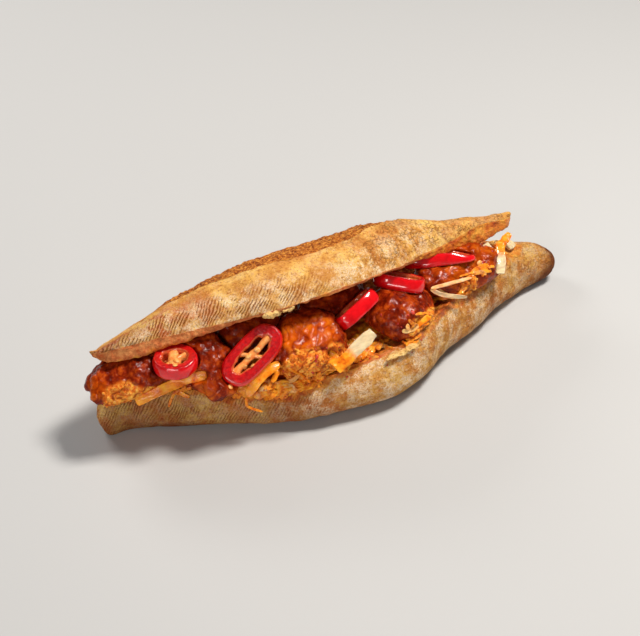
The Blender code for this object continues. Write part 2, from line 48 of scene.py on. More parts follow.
# ---------------------------------------------------------------- camera, light and floor
CAMERA_AT = (-335.7, -612.2, 581.1)  # millimetres in the drawing frame
CAMERA_TURN = (51.5, 0, -28)  # degrees
CAMERA_LENS = 104.6
CAMERA_SENSOR = 36
FLOOR_COLOUR, FLOOR_DROP = (0.52, 0.515, 0.51), 0.0002
SKY_COLOUR, SKY_STRENGTH = (0.95, 0.97, 1.0), 0.10
LIGHTS = (  # name, place, aim and size in metres, watts and colour
    ("key", (0.36, -0.10, 0.93), (0, 0, 0.03), (0.24, 0.24), 11.8, (1, 0.96, 0.90)),
    ("left", (-0.75, -0.60, 0.62), (-0.02, 0, 0.03), (0.18, 0.26), 2.0, (1, 0.98, 0.96)),
    ("glint", (-0.66, -0.86, 0.22), (-0.02, 0, 0.04), (0.60, 0.12), 2.2, (1, 0.99, 0.97)),
    ("back", (-0.25, 0.75, 0.50), (0, 0, 0.04), (0.4, 0.3), 3.0, (1, 0.98, 0.95)),
)


def drawn(point):
    """A point of the drawing frame, in millimetres, as a place in the row frame, in metres."""
    return (Vector(point) + SHIFT) * MM


def link(obj):
    bpy.context.scene.collection.objects.link(obj)
    return obj


def add_camera():
    data = bpy.data.cameras.new("camera")
    data.sensor_width = CAMERA_SENSOR
    data.lens = CAMERA_LENS
    data.clip_start = 0.02
    camera = link(bpy.data.objects.new("camera", data))
    camera.location = drawn(CAMERA_AT)
    camera.rotation_euler = [math.radians(a) for a in CAMERA_TURN]
    bpy.context.scene.camera = camera


def add_light(name, at, aim, size, power, colour):
    data = bpy.data.lights.new(name, "AREA")
    data.shape = "RECTANGLE"
    data.size, data.size_y = size
    data.energy = power
    data.color = colour
    lamp = link(bpy.data.objects.new(name, data))
    lamp.location = at
    lamp.rotation_euler = (Vector(aim) - Vector(at)).to_track_quat("-Z", "Y").to_euler()


def add_studio():
    bpy.ops.mesh.primitive_plane_add(size=6, location=(0, 0, -FLOOR_DROP))
    floor = bpy.context.object
    floor.name = "floor"
    look = Nodes("floor")
    look.finish(FLOOR_COLOUR, 0.7)
    floor.data.materials.append(look.material)
    world = bpy.data.worlds.new("studio")
    bpy.context.scene.world = world
    world.use_nodes = True
    background = world.node_tree.nodes["Background"]
    background.inputs["Color"].default_value = (*SKY_COLOUR, 1)
    background.inputs["Strength"].default_value = SKY_STRENGTH
    for light in LIGHTS:
        add_light(*light)
    bpy.context.scene.view_settings.view_transform = "Standard"


# ---------------------------------------------------------------- materials
class Nodes:
    """A material's node tree, written as nested calls. Sizes are in millimetres."""

    def __init__(self, name):
        self.material = bpy.data.materials.new(name)
        self.material.use_nodes = True
        self.tree = self.material.node_tree
        self.shader = self.tree.nodes["Principled BSDF"]
        self.place = self.tree.nodes.new("ShaderNodeTexCoord").outputs["Object"]

    def feed(self, socket, value):
        if isinstance(value, bpy.types.NodeSocket):
            self.tree.links.new(value, socket)
        elif socket.type == "RGBA":
            socket.default_value = (*value, 1.0)
        else:
            socket.default_value = value

    def make(self, kind, inputs, out=0, **settings):
        node = self.tree.nodes.new("ShaderNode" + kind)
        for key, value in settings.items():
            setattr(node, key, value)
        for key, value in inputs.items():
            self.feed(node.inputs[key], value)
        return node.outputs[out]

    def noise(self, size, detail=3, rough=0.55, stretch=None, distort=0.0, turn=(0, 0, 0)):
        place = self.place
        if stretch:
            place = self.make("Mapping", {"Vector": self.place, "Scale": stretch, "Rotation": turn})
        return self.make(
            "TexNoise",
            {"Vector": place, "Scale": 1 / (size * MM), "Detail": detail, "Roughness": rough, "Distortion": distort},
        )

    def cells(self, size, feature, place, **more):
        return self.make("TexVoronoi", {"Vector": place, "Scale": 1 / (size * MM), **more}, feature=feature)

    def attribute(self, name):
        return self.make("Attribute", {}, out=2, attribute_name=name)

    def ramp(self, value, low, high, to=(0.0, 1.0)):
        inputs = {"Value": value, "From Min": low, "From Max": high, "To Min": to[0], "To Max": to[1]}
        return self.make("MapRange", inputs, interpolation_type="SMOOTHSTEP")

    def calc(self, operation, a, b=0.0, c=0.0):
        node = self.tree.nodes.new("ShaderNodeMath")
        node.operation = operation
        for k, value in enumerate((a, b, c)):
            self.feed(node.inputs[k], value)
        return node.outputs[0]

    def plus(self, a, b):
        return self.calc("ADD", a, b)

    def times(self, a, b):
        return self.calc("MULTIPLY", a, b)

    def mix(self, share, a, b, blend="MIX"):
        node = self.tree.nodes.new("ShaderNodeMix")
        node.data_type = "RGBA"
        node.blend_type = blend
        for k, value in ((0, share), (6, a), (7, b)):
            self.feed(node.inputs[k], value)
        return node.outputs[2]

    def tones(self, value, *stops):
        """Colours along a value, from (place, colour) stops."""
        node = self.tree.nodes.new("ShaderNodeValToRGB")
        elements = node.color_ramp.elements
        while len(elements) < len(stops):
            elements.new(1.0)
        for element, (place, colour) in zip(elements, stops):
            element.position = place
            element.color = (*colour, 1.0)
        self.feed(node.inputs[0], value)
        return node.outputs[0]

    def bump(self, height, depth):
        return self.make("Bump", {"Height": height, "Distance": depth * MM, "Strength": 1.0})

    def finish(self, colour, roughness, normal=None, **constants):
        self.feed(self.shader.inputs["Base Color"], colour)
        self.feed(self.shader.inputs["Roughness"], roughness)
        if normal is not None:
            self.feed(self.shader.inputs["Normal"], normal)
        for key, value in constants.items():
            self.feed(self.shader.inputs[key.replace("_", " ").title().replace("Ior", "IOR")], value)
        return self.material


# Colours are linear red, green and blue. These are the crust's and the crumb's.
CLOUD = (0.54, 0.175, 0.042)
FRECKLE = (0.44, 0.135, 0.024)
RUSSET = (0.46, 0.150, 0.030)
# Painted shade: a darker, more red crust for the parts turned from the light.
RUDDY_SHADE = (0.50, 0.095, 0.018)
SPECKLE = (0.36, 0.098, 0.018)
FLOUR = (0.90, 0.68, 0.45)
# Partly painted shade: the dark brown in the cloth's grooves.
GROOVE_SHADE = (0.34, 0.090, 0.018)
# Darkens the crust: real browning from the bake, and painted shade where the crust is turned from the light.
BAKED_AND_SHADE = (0.27, 0.155, 0.10)  # multiplies the crust
# Painted shade: the dark in the crumb's pores.
PORE_SHADE = (0.30, 0.115, 0.04)

CRACK_SIZE = 2.3  # millimetres between the cracks of the crazed crust
CRACK_BEND = 0.0035  # metres by which noise bends them
GROOVES_ACROSS = (0.74, -0.53, -0.41)  # the direction across the cloth's grooves
GROOVE_SPACING = 1.3
GROOVE_WAVER = 22.0  # radians by which they stray


def bread_look():
    look = Nodes("bread")
    crumb, burst, stain = look.attribute("crumb"), look.attribute("burst"), look.attribute("stain")
    lined, baked, floury = look.attribute("lined"), look.attribute("baked"), look.attribute("floury")
    pale = look.attribute("pale")
    fine, grain, broad = look.noise(0.7, 4, 0.65), look.noise(2.2, 5, 0.62), look.noise(15, 4, 0.6)

    # Crust: gold, browned in broad clouds and freckled, darker and more red in painted shade on the left, and darker
    # where the bake against the stone browned it, with painted shade on the lower half's front, the lid's left and
    # the nub's end.
    crust = look.tones(
        broad, (0.32, (0.54, 0.210, 0.038)), (0.50, (0.74, 0.385, 0.078)), (0.66, (0.86, 0.54, 0.125))
    )
    crust = look.mix(look.ramp(look.noise(8, 4, 0.65), 0.50, 0.66, (0, 0.5)), crust, CLOUD)
    crust = look.mix(look.ramp(grain, 0.48, 0.68, (0, 0.65)), crust, FRECKLE)
    crust = look.mix(look.ramp(fine, 0.52, 0.66, (0, 0.55)), crust, RUSSET)
    # Painted shade: darker, more red crust on the lid's left front and on the lower half's left.
    redder_shade = look.times(look.ramp(look.noise(10, 4, 0.7), 0.44, 0.58), look.attribute("ruddy"))
    crust = look.mix(look.times(redder_shade, 0.78), crust, RUDDY_SHADE)

    speckle = look.noise(1.15, 4, 0.7)
    crust = look.mix(look.ramp(speckle, 0.47, 0.35, (0, 0.75)), crust, SPECKLE)
    stray = look.make("TexNoise", {"Vector": look.place, "Scale": 260.0, "Detail": 3.0}, out=1)
    bent = look.make("MixRGB", {"Fac": CRACK_BEND, "Color1": look.place, "Color2": stray}, blend_type="ADD")
    cracks = look.ramp(look.cells(CRACK_SIZE, "DISTANCE_TO_EDGE", bent), 0.10, 0.0)
    cracks = look.times(cracks, look.ramp(look.noise(6, 4, 0.7), 0.42, 0.56))
    cracks = look.times(cracks, look.attribute("crazed"))
    crust = look.mix(look.times(cracks, 0.60), crust, RUSSET)

    # Flour, rubbed off in patches, and the fine slanting grooves that the cloth leaves in it, whose dark brown is
    # partly bare crust and partly painted shade.
    slant = look.make("VectorMath", {0: look.place, 1: GROOVES_ACROSS}, out=1, operation="DOT_PRODUCT")
    waver = look.times(look.noise(14, 4, 0.6), GROOVE_WAVER)
    wave = look.calc("SINE", look.plus(look.times(slant, 2 * math.pi / (GROOVE_SPACING * MM)), waver))
    grooves = look.times(look.ramp(wave, 0.25, 0.90), look.ramp(look.noise(6.5, 5, 0.7), 0.43, 0.58))
    grooves = look.times(grooves, lined)
    flour = look.times(look.ramp(look.noise(7.5, 6, 0.75), 0.44, 0.58), floury)
    flour = look.times(flour, look.ramp(fine, 0.38, 0.56))
    flour = look.calc("MAXIMUM", flour, look.times(look.times(look.ramp(wave, -0.1, -0.9), lined), 0.25))
    flour = look.calc("MAXIMUM", flour, look.times(look.ramp(speckle, 0.56, 0.70), look.times(floury, 0.8)))
    crust = look.mix(look.times(flour, 0.88), crust, FLOUR)
    # Painted shade in part: the grooves are darkened.
    crust = look.mix(look.times(grooves, 0.85), crust, GROOVE_SHADE)
    # Real browning and painted shade: the crust is darkened where the bake browned it and where shade falls.
    crust = look.mix(baked, crust, BAKED_AND_SHADE, "MULTIPLY")

    # The rough burst behind the ear.
    burst = look.ramp(look.plus(burst, look.times(grain, 0.5)), 0.50, 0.75)
    rough = look.tones(
        look.noise(1.5, 5, 0.7),
        (0.38, (0.15, 0.026, 0.004)), (0.50, (0.50, 0.135, 0.015)), (0.62, (0.80, 0.34, 0.055)),
    )
    crust = look.mix(burst, crust, rough)

    # Crumb, and the sauce that soaks it.
    pores = look.cells(1.7, "SMOOTH_F1", look.place, Smoothness=0.4)
    inside = look.tones(look.noise(3.0, 4, 0.6), (0.35, (0.52, 0.108, 0.026)), (0.65, (0.76, 0.30, 0.095)))
    inside = look.mix(pale, inside, look.tones(grain, (0.35, (0.72, 0.40, 0.10)), (0.65, (0.92, 0.66, 0.27))))
    # Painted shade: the crumb is darker in its pores.
    inside = look.mix(look.ramp(pores, 0.30, 0.05, (0, 0.6)), inside, PORE_SHADE)
    cut = look.ramp(look.plus(crumb, look.times(look.noise(3.2, 4, 0.7), 0.26)), 0.60, 0.66)
    colour = look.mix(cut, crust, inside)
    soaked = look.ramp(look.plus(stain, look.times(look.noise(4.0, 4, 0.65), 0.9)), 0.82, 1.20)
    sauce = look.tones(
        look.noise(5, 4), (0.35, (0.40, 0.055, 0.008)), (0.52, (0.66, 0.19, 0.018)), (0.68, (0.80, 0.38, 0.05))
    )
    colour = look.mix(look.times(soaked, 0.85), colour, sauce)

    shine = look.ramp(fine, 0.3, 0.7, (0.60, 0.82))
    shine = look.calc("SUBTRACT", shine, look.times(soaked, 0.34))
    wrinkles = look.times(look.noise(1.5, 4, 0.6, stretch=(0.22, 1, 1)), look.calc("SUBTRACT", 1.0, lined))
    height = look.plus(look.times(fine, 0.35), look.times(grain, 0.9))
    height = look.plus(height, look.times(wrinkles, 0.8))
    height = look.plus(height, look.times(speckle, 0.8))
    height = look.plus(height, look.times(grooves, -1.1))
    height = look.plus(height, look.times(cracks, -1.0))
    height = look.plus(height, look.times(look.times(look.noise(1.3, 5, 0.7), burst), 1.8))
    height = look.plus(height, look.times(look.times(pores, cut), 1.0))
    return look.finish(colour, shine, look.bump(height, 0.60), specular_ior_level=0.16)


def chicken_look():
    """Crisp breading where it is bare, and dark or light sauce where the glaze covers it: light where it is thin and
    where painted light falls, with painted shade in the creases.
    """
    look = Nodes("glazed_chicken")
    glaze, bright = look.attribute("glaze"), look.attribute("bright")
    grain, fine = look.noise(2.0, 5, 0.65), look.noise(0.5, 3, 0.6)
    crisp = look.tones(
        look.plus(look.times(grain, 0.75), look.times(look.noise(6, 3), 0.25)),
        (0.38, (0.52, 0.075, 0.006)), (0.48, (0.76, 0.19, 0.015)), (0.60, (0.94, 0.46, 0.070)),
    )
    wet = look.tones(
        look.plus(look.times(look.noise(4.5, 4, 0.6), 0.7), look.times(grain, 0.3)),
        (0.36, (0.10, 0.005, 0.001)), (0.50, (0.24, 0.017, 0.002)), (0.64, (0.52, 0.075, 0.006)),
    )
    sauce = look.tones(
        look.noise(6, 4, 0.6),
        (0.36, (0.34, 0.030, 0.001)), (0.50, (0.54, 0.074, 0.002)), (0.64, (0.70, 0.150, 0.004)),
    )
    # Painted light, with thin sauce: the sauce is lighter and more orange on these spots.
    wet = look.mix(look.ramp(bright, 0.25, 0.9), wet, sauce)
    # Painted shade: the breading and the glaze are darker in the creases between nuggets and in the hollows.
    crease = look.ramp(look.attribute("crease"), 0.15, 0.85)
    crisp = look.mix(look.times(crease, 0.85), crisp, (0.34, 0.050, 0.005))
    wet = look.mix(look.times(crease, 0.7), wet, (0.55, 0.36, 0.30), "MULTIPLY")
    covered = look.ramp(look.plus(glaze, look.times(grain, 0.7)), 0.66, 1.02)
    colour = look.mix(covered, crisp, wet)
    shine = look.ramp(covered, 0.1, 0.9, (0.45, 0.17))
    height = look.plus(grain, look.times(fine, 0.35))
    height = look.times(height, look.ramp(covered, 0.0, 1.0, (0.7, 0.30)))
    return look.finish(
        colour, shine, look.bump(height, 0.6), coat_weight=0.12, coat_roughness=0.05, specular_ior_level=0.09
    )


def chilli_look():
    """Shining red skin, duller and darker flesh on the cuts, partly painted shade, and pale pith inside."""
    look = Nodes("chilli_flesh")
    cut, pith = look.attribute("cut"), look.attribute("pith")
    skin = look.tones(look.noise(4, 3), (0.3, (0.62, 0.0008, 0.004)), (0.7, (0.90, 0.0035, 0.009)))
    # Partly painted shade: the cut faces are a darker red than the skin.
    flesh = look.tones(look.noise(1.6, 4), (0.3, (0.36, 0.001, 0.003)), (0.7, (0.70, 0.008, 0.009)))
    pale = look.tones(look.noise(2.0, 4), (0.3, (0.84, 0.17, 0.022)), (0.68, (0.98, 0.46, 0.13)))
    colour = look.mix(look.ramp(cut, 0.2, 0.8), skin, flesh)
    colour = look.mix(look.ramp(pith, 0.30, 0.72), colour, pale)
    height = look.times(look.noise(1.2, 3), look.calc("MAXIMUM", cut, pith))
    return look.finish(
        colour, 0.22, look.bump(height, 0.30), coat_weight=0.9, coat_roughness=0.04, subsurface_weight=0.10,
        subsurface_radius=(0.003, 0.0004, 0.0002), specular_ior_level=0.25,
    )


def kimchi_look(name, body, depth, low, middle, high, stalk):
    """Wet cabbage, from dark to light with sauce, and pale in the stems."""
    look = Nodes(name)
    stem = look.attribute("stem")
    veins = look.noise(1.5, 3, 0.5, stretch=(0.35, 1, 1))
    orange = look.tones(look.noise(body, 4, 0.6), (0.30, low), (0.44, middle), (0.62, high))
    cream = look.tones(veins, (0.3, [c * 0.72 for c in stalk]), (0.7, stalk))
    share = look.ramp(look.plus(stem, look.times(look.noise(3, 4, 0.6), 0.5)), 0.58, 0.92)
    colour = look.mix(share, orange, cream)
    return look.finish(
        colour, 0.30, look.bump(veins, depth), coat_weight=0.15, coat_roughness=0.06, subsurface_weight=0.15,
        subsurface_radius=(0.003, 0.0015, 0.0006), specular_ior_level=0.18,
    )


# ---------------------------------------------------------------- mesh helpers
def lumps(point, size, seed=0.0):
    """Smooth noise near -1 to 1 at a point in millimetres."""
    return noise.noise(point / size + Vector((seed, seed * 0.7, -seed * 1.3)))


def nodules(point, size, seed=0.0):
    """0 in the creases between rounded nodules, and up to about 1 on them."""
    return min(abs(noise.noise(point / size + Vector((seed, -seed, seed * 0.3)))) * 2.6, 1.0)


def step(value, low, high):
    share = min(max((value - low) / (high - low), 0.0), 1.0)
    return share * share * (3 - 2 * share)


def near_spots(point, spots, low=0.55, high=1.25):
    """1 inside one of the spots, given as place and radius, and 0 well outside them."""
    return max(1 - step((point - Vector(spot[:3])).length / spot[3], low, high) for spot in spots)


def turned(turns):
    """A turn by degrees about X, Y and Z."""
    return Euler([math.radians(t) for t in turns]).to_matrix().to_4x4()


def standing(normal, turn):
    """A turn that stands Z along the normal, after a turn about Z."""
    return normal.to_track_quat("Z", "Y").to_matrix().to_4x4() @ Matrix.Rotation(turn, 4, "Z")


def row_at(rows, x):
    """The rows' values at x, read straight between the rows."""
    x = min(max(x, rows[0][0]), rows[-1][0])
    k = next(i for i in range(len(rows) - 1) if x <= rows[i + 1][0])
    share = (x - rows[k][0]) / (rows[k + 1][0] - rows[k][0])
    return [a + (b - a) * share for a, b in zip(rows[k][1:], rows[k + 1][1:])]


def welded(node):
    bm = bmesh.new()
    bm.from_mesh(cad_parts[node].data)
    bmesh.ops.remove_doubles(bm, verts=bm.verts, dist=0.000002)
    bmesh.ops.recalc_face_normals(bm, faces=bm.faces)
    return bm


def with_modifiers(name, bm, *modifiers):
    """A new mesh from bm with (type, settings) modifiers applied."""
    mesh = bpy.data.meshes.new(name)
    bm.to_mesh(mesh)
    bm.free()
    raw = link(bpy.data.objects.new(name + "_raw", mesh))
    for kind, settings in modifiers:
        modifier = raw.modifiers.new(kind, kind)
        for key, value in settings.items():
            setattr(modifier, key, value)
    bpy.context.view_layer.update()
    graph = bpy.context.evaluated_depsgraph_get()
    made = bpy.data.meshes.new_from_object(raw.evaluated_get(graph), depsgraph=graph)
    bpy.data.objects.remove(raw)
    bpy.data.meshes.remove(mesh)
    made.name = name
    return made


def points_of(mesh):
    """The mesh's points in the drawing frame, in millimetres."""
    return [vert.co / MM - SHIFT for vert in mesh.vertices]


def values_of(mesh, name):
    values = np.empty(len(mesh.vertices), np.float32)
    mesh.attributes[name].data.foreach_get("value", values)
    return values


def store(mesh, **columns):
    """Keeps a value for each point under each name, for the material to read."""
    for name, values in columns.items():
        attribute = mesh.attributes.get(name) or mesh.attributes.new(name, "FLOAT", "POINT")
        attribute.data.foreach_set("value", np.asarray(values, np.float32))


def move_along_normals(mesh, amounts):
    """Moves each point along its normal by that many millimetres."""
    normals = [Vector(n.vector) for n in mesh.vertex_normals]
    for vert, normal, amount in zip(mesh.vertices, normals, amounts):
        vert.co += normal * (amount * MM)


def piece(name, mesh, material, slot, *nodes):
    """A visible piece that rides on the root and takes the place of the nodes."""
    mesh.materials.clear()
    mesh.materials.append(material)
    mesh.shade_smooth()
    obj = link(bpy.data.objects.new(name, mesh))
    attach(obj, "root")
    if nodes:
        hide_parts(*nodes)
    return obj


def surface_of(objects):
    """A tree for finding where a line meets the objects."""
    points, faces = [], []
    for obj in objects:
        start = len(points)
        points += [vert.co.copy() for vert in obj.data.vertices]
        faces += [[start + v for v in face.vertices] for face in obj.data.polygons]
    return bvhtree.BVHTree.FromPolygons(points, faces)


def settled(tree, point, lift=0.0):
    """The place on the surface behind a drawn point, seen from outside, and the surface's normal there."""
    hit, normal, *_ = tree.ray_cast(drawn(point) + OUTWARDS * 0.03, -OUTWARDS, 0.08)
    if hit is None:
        hit, normal, *_ = tree.find_nearest(drawn(point))
    return hit + normal * (lift * MM), normal


def make_room(mesh, tree, depth, reach=5.0, spread=7):
    """Sinks the mesh where a topping lies on it, so that the topping shows whole in a hollow with soft edges."""
    push = np.zeros(len(mesh.vertices))
    for k, vert in enumerate(mesh.vertices):
        hit = tree.ray_cast(vert.co + OUTWARDS * 0.03, -OUTWARDS, 0.04)[0]
        if hit is not None:
            over = (vert.co - hit).dot(OUTWARDS) / MM
            if -depth < over < reach:
                push[k] = over + depth
    ends = np.empty(2 * len(mesh.edges), np.int64)
    mesh.edges.foreach_get("vertices", ends)
    a, b = ends.reshape(-1, 2).T
    links = np.maximum(np.bincount(ends, minlength=len(push)), 1)
    soft = push
    for _ in range(spread):
        around = np.bincount(a, soft[b], len(push)) + np.bincount(b, soft[a], len(push))
        soft = np.maximum(push, around / links)
    for vert, amount in zip(mesh.vertices, soft):
        vert.co -= OUTWARDS * (amount * MM)


# ---------------------------------------------------------------- the bread
LID_HINGE = (24, 32)
LID_TILT = 32.5
LID_ROWS = (  # x, back and front edge of the cut face counted forwards from the hinge line
    (-123.8, 17, 24), (-104, 8, 35.6), (-82, 3, 42), (-65, 1, 48), (-49, 0, 55), (-30, 0, 58), (-5, 0, 56),
    (15, 0, 50), (33, 1, 41), (55, 2, 32), (70, 4, 27), (85, 7, 23), (104.2, 12, 18.5),
)
EAR_ROWS = ((-98, 86), (-62, 66), (-31, 56), (-4, 56), (25, 68), (50, 90))
EAR_ENDS = (-100, 56)


def fillings():
    """A search tree of the filling's points."""
    points = [
        vert.co / MM - SHIFT
        for name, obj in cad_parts.items() if not name.startswith("bread")
        for vert in obj.data.vertices
    ]
    tree = kdtree.KDTree(len(points))
    for k, point in enumerate(points):
        tree.insert(point, k)
    tree.balance()
    return tree


def smooth_bread(node, is_cut, is_ridge=None):
    """The node's faces as quads, marked where they are cut, and subdivided through their points with a firm rim."""
    bm = welded(node)
    bmesh.ops.join_triangles(bm, faces=bm.faces, angle_face_threshold=0.7, angle_shape_threshold=1.2)
    bm.normal_update()
    layer = bm.verts.layers.float.new("crumb")
    crease = bm.edges.layers.float.new("crease_edge")
    cut = {face: is_cut(face) for face in bm.faces}
    for vert in bm.verts:
        vert[layer] = sum(cut[face] for face in vert.link_faces) / len(vert.link_faces)
    for edge in bm.edges:
        if len(edge.link_faces) == 2 and cut[edge.link_faces[0]] != cut[edge.link_faces[1]]:
            edge[crease] = 0.8
        elif is_ridge and is_ridge(edge):
            edge[crease] = 0.75
    wanted = [vert.co.copy() for vert in bm.verts]
    for _ in range(2):
        smooth = with_modifiers(node, bm.copy(), ("SUBSURF", {"levels": 1, "render_levels": 1}))
        for vert, end, goal in zip(bm.verts, smooth.vertices, wanted):
            vert.co += (goal - end.co) * 0.9
        bpy.data.meshes.remove(smooth)
    return with_modifiers(node, bm, ("SUBSURF", {"levels": 3, "render_levels": 3}))


RIM_WIDTH = 0.35
BREAD_MARKS = ("burst", "stain", "lined", "baked", "floury", "ruddy", "crazed")


def on_rim(cut):
    """1 on the rim, where the mark of the cut passes a half, and 0 away from it."""
    return math.exp(-(((cut - 0.5) / RIM_WIDTH) ** 2))


def lower_cut(face):
    middle = face.calc_center_median() / MM - SHIFT
    return face.normal.z > 0.76 and middle.z > 13 and middle.x < 98


def lower_relief(point, rim, cut):
    """How far the lower half rises: broad lumps, fine wrinkles along it, and a torn rim and cut face."""
    amount = 0.55 * lumps(point, 11, 3) + 0.30 * lumps(point, 4.2, 5)
    amount += 0.22 * lumps(Vector((point.x / 2.2, point.y, point.z)), 2.0, 7)
    torn = 0.8 * lumps(point, 4.5, 11) + 0.4 * lumps(point, 2.0, 15)
    amount += rim * torn + cut * 0.7 * lumps(point, 2.6, 13)
    return amount * step(point.z, 0.3, 5)


def lower_stain(point, near, rim, cut):
    """How soaked the lower half is: near the filling, and on two stretches of the rim."""
    reach = 5.5 + 4.5 * step(point.x, 10, 50)
    stain = max(1.0 - step(near, 0.6, reach), 0.62 * cut * step(point.x, -95, -60))
    left = step(point.x, -102, -94) * (1 - step(point.x, -66, -58))
    right = step(point.x, 24, 34) * (1 - step(point.x, 62, 84))
    return max(stain, 0.95 * max(rim, cut) * (left + right))


def make_bread_bottom(material, filling):
    mesh = smooth_bread("bread_bottom", lower_cut)
    points = points_of(mesh)
    normals = [Vector(n.vector) for n in mesh.vertex_normals]
    amounts, stains, lined, baked, floury, ruddy, crazed, pale = [], [], [], [], [], [], [], []
    for point, normal, cut in zip(points, normals, values_of(mesh, "crumb")):
        rim = on_rim(cut)
        amounts.append(lower_relief(point, rim, cut))
        stains.append(lower_stain(point, filling.find(point)[2], rim, cut))
        left = 1 - step(point.x, -40, 5)
        lined.append(0.7 * (1 - step(point.x, -55, -12)) * (0.35 + 0.65 * step(point.z, 4, 12)) * (1 - cut))
        # Painted shade, over real browning: the nub's end, turned away from the light, is darkened.
        end = step(point.x, 108, 123) * step(normal.x - 0.45 * normal.z, -0.25, 0.35)
        end = max(end, 0.16 * step(point.x, 98, 112))
        under = 1 - step(point.z, 1, 12)
        # Painted shade: the lower half's front, facing forwards and down, is darkened, more on the left under the
        # lid.
        side = (0.14 + 0.30 * left) * step(-normal.y - 0.7 * normal.z, 0.1, 0.8)
        baked.append(max(min(1.25 * end + 0.30 * under + side + 0.15 * lumps(point, 16, 21), 1.25), 0.0))
        shadow = 1 - step(point.x, -75, -25)
        flour = 0.50 + 0.50 * (1 - step(point.x, 75, 110)) + 0.4 * lumps(point, 25, 2)
        floury.append(flour * (1 - 0.65 * shadow))
        # Painted shade: the darker, more red tone, strongest on the left.
        ruddy.append(0.30 + 0.5 * left)
        pale.append(max(rim, cut) * (1 - step(point.x, -104, -96)))
        crazed.append(0.25 + 0.35 * step(point.x, 0, 40))
    move_along_normals(mesh, amounts)
    plain = [0.0] * len(points)
    store(mesh, stain=stains, lined=lined, baked=baked, floury=floury)
    store(mesh, ruddy=ruddy, crazed=crazed, pale=pale, burst=plain)
    return piece("bread_bottom_crust", mesh, material, "bread", "bread_bottom")


def lid_place(point):
    """(x, distance forwards from the hinge line, height) on the lid as it lies flat."""
    turn = math.radians(LID_TILT)
    y, z = point.y - LID_HINGE[0], point.z - LID_HINGE[1]
    return point.x, -(y * math.cos(turn) - z * math.sin(turn)), y * math.sin(turn) + z * math.cos(turn)


def upper_cut(face):
    turn = math.radians(LID_TILT)
    return face.normal.y * math.sin(turn) + face.normal.z * math.cos(turn) < -0.05


def behind_ear(x, forwards):
    """Degrees past the ear's edge over the dome, and how strong the ear is at x."""
    back, front = row_at(LID_ROWS, x)
    reach = (forwards - (front + back) / 2) / max((front - back) / 2, 1)
    reach = min(max(reach, -1.0), 1.0)
    angle = math.degrees(math.acos(math.copysign(abs(reach) ** (1 / 0.9), reach)))
    strong = min(max(min((x - EAR_ENDS[0]) / 24, (EAR_ENDS[1] - x) / 28), 0.0), 1.0)
    return angle - row_at(EAR_ROWS, x)[0], strong


def ear_ridge(edge):
    for vert in edge.verts:
        x, forwards, height = lid_place(vert.co / MM - SHIFT)
        past, strong = behind_ear(x, forwards)
        if strong < 0.2 or abs(past) > 1.6 or height < 3:
            return False
    return True


LID_STAINS = (  # place and radius
    (4.5, 2.5, 57.5, 4.5), (3, 0, 60, 3), (16, -15, 56, 4), (-20, -25, 62, 5), (42, -6, 50, 5),
)
OPEN = 0.4  # the mark of the cut above which a point counts as cut


def lid_relief(point, past, strong, torn, cut):
    """How far the lid rises: lumps, lines along the crust, the burst behind the ear, the ear's lip and a torn rim."""
    crust = 1 - cut
    amount = 0.55 * lumps(point, 12, 4) + 0.25 * lumps(point, 4.5, 6)
    amount += crust * (1 - torn) * 0.38 * lumps(Vector((point.x / 4.0, point.y, point.z)), 2.6, 8)
    amount += torn * strong * (0.9 * nodules(point, 5.5, 3) + 0.6 * nodules(point, 2.6, 5) - 0.7)
    amount += crust * math.exp(-((past / 3) ** 2)) * strong * 0.7 * lumps(point, 3.2, 16)
    ragged = 0.8 * lumps(point, 5, 12) + 0.4 * lumps(point, 2.0, 17)
    amount += on_rim(cut) * ragged + cut * 0.6 * lumps(point, 2.6, 14)
    return amount


def lid_stain(point, near, cut):
    """How soaked the lid is: near the filling, at a few spots, and under its right end."""
    stain = (1.0 - step(near, 0.6, 6.0)) * (1.0 if cut > OPEN else 0.8)
    stain = max(stain, 0.75 * near_spots(point, LID_STAINS, 0.3, 1.2))
    if cut > OPEN:
        stain = max(stain, 1.3 * step(point.x, 25, 55) * (1 - step(point.x, 94, 103)))
    return stain


def make_bread_top(material, filling):
    mesh = smooth_bread("bread_top", upper_cut, ear_ridge)
    points = points_of(mesh)
    amounts, stains, lined, baked, floury, burst, ruddy, crazed = [], [], [], [], [], [], [], []
    for point, cut in zip(points, values_of(mesh, "crumb")):
        x, forwards, _ = lid_place(point)
        past, strong = behind_ear(x, forwards)
        wide = 0.15 + 0.85 * strong
        torn = min(strong * 4, 1.0) * step(past, -3.5, 0.5) * (1 - step(past, 34 * wide, 62 * wide)) * (1 - cut)
        crust = 1 - cut
        amounts.append(lid_relief(point, past, strong, torn, cut))
        stains.append(lid_stain(point, filling.find(point)[2], cut))
        lined.append((1 - step(x, -50, 0)) * (1 - torn) * step(-past, 14, 46) * crust)
        # Painted shade: the lid's left front, turned away from the light, is darkened; far past the ear, over the
        # dome, it is darker too.
        left = 0.38 * (1 - step(x, -118, -70)) * step(-past, 0, 30)
        baked.append(min(left + 0.25 * step(past, 60, 110), 1.0) * crust)
        flour = 0.20 + 0.70 * step(-past, 14, 46) * (1 - step(x, 20, 70))
        floury.append(flour * (1 + 0.5 * lumps(point, 22, 2)))
        burst.append(torn)
        # Painted shade: the darker, more red tone on the lid's left front.
        ruddy.append(0.15 + 1.0 * (1 - step(x, -100, -35)) * step(-past, 4, 30))
        crazed.append(step(x, -30, 25) * crust)
    move_along_normals(mesh, amounts)
    store(mesh, stain=stains, lined=lined, baked=baked, floury=floury)
    store(mesh, ruddy=ruddy, crazed=crazed, burst=burst, pale=[0.0] * len(points))
    return piece("bread_top_crust", mesh, material, "bread", "bread_top")


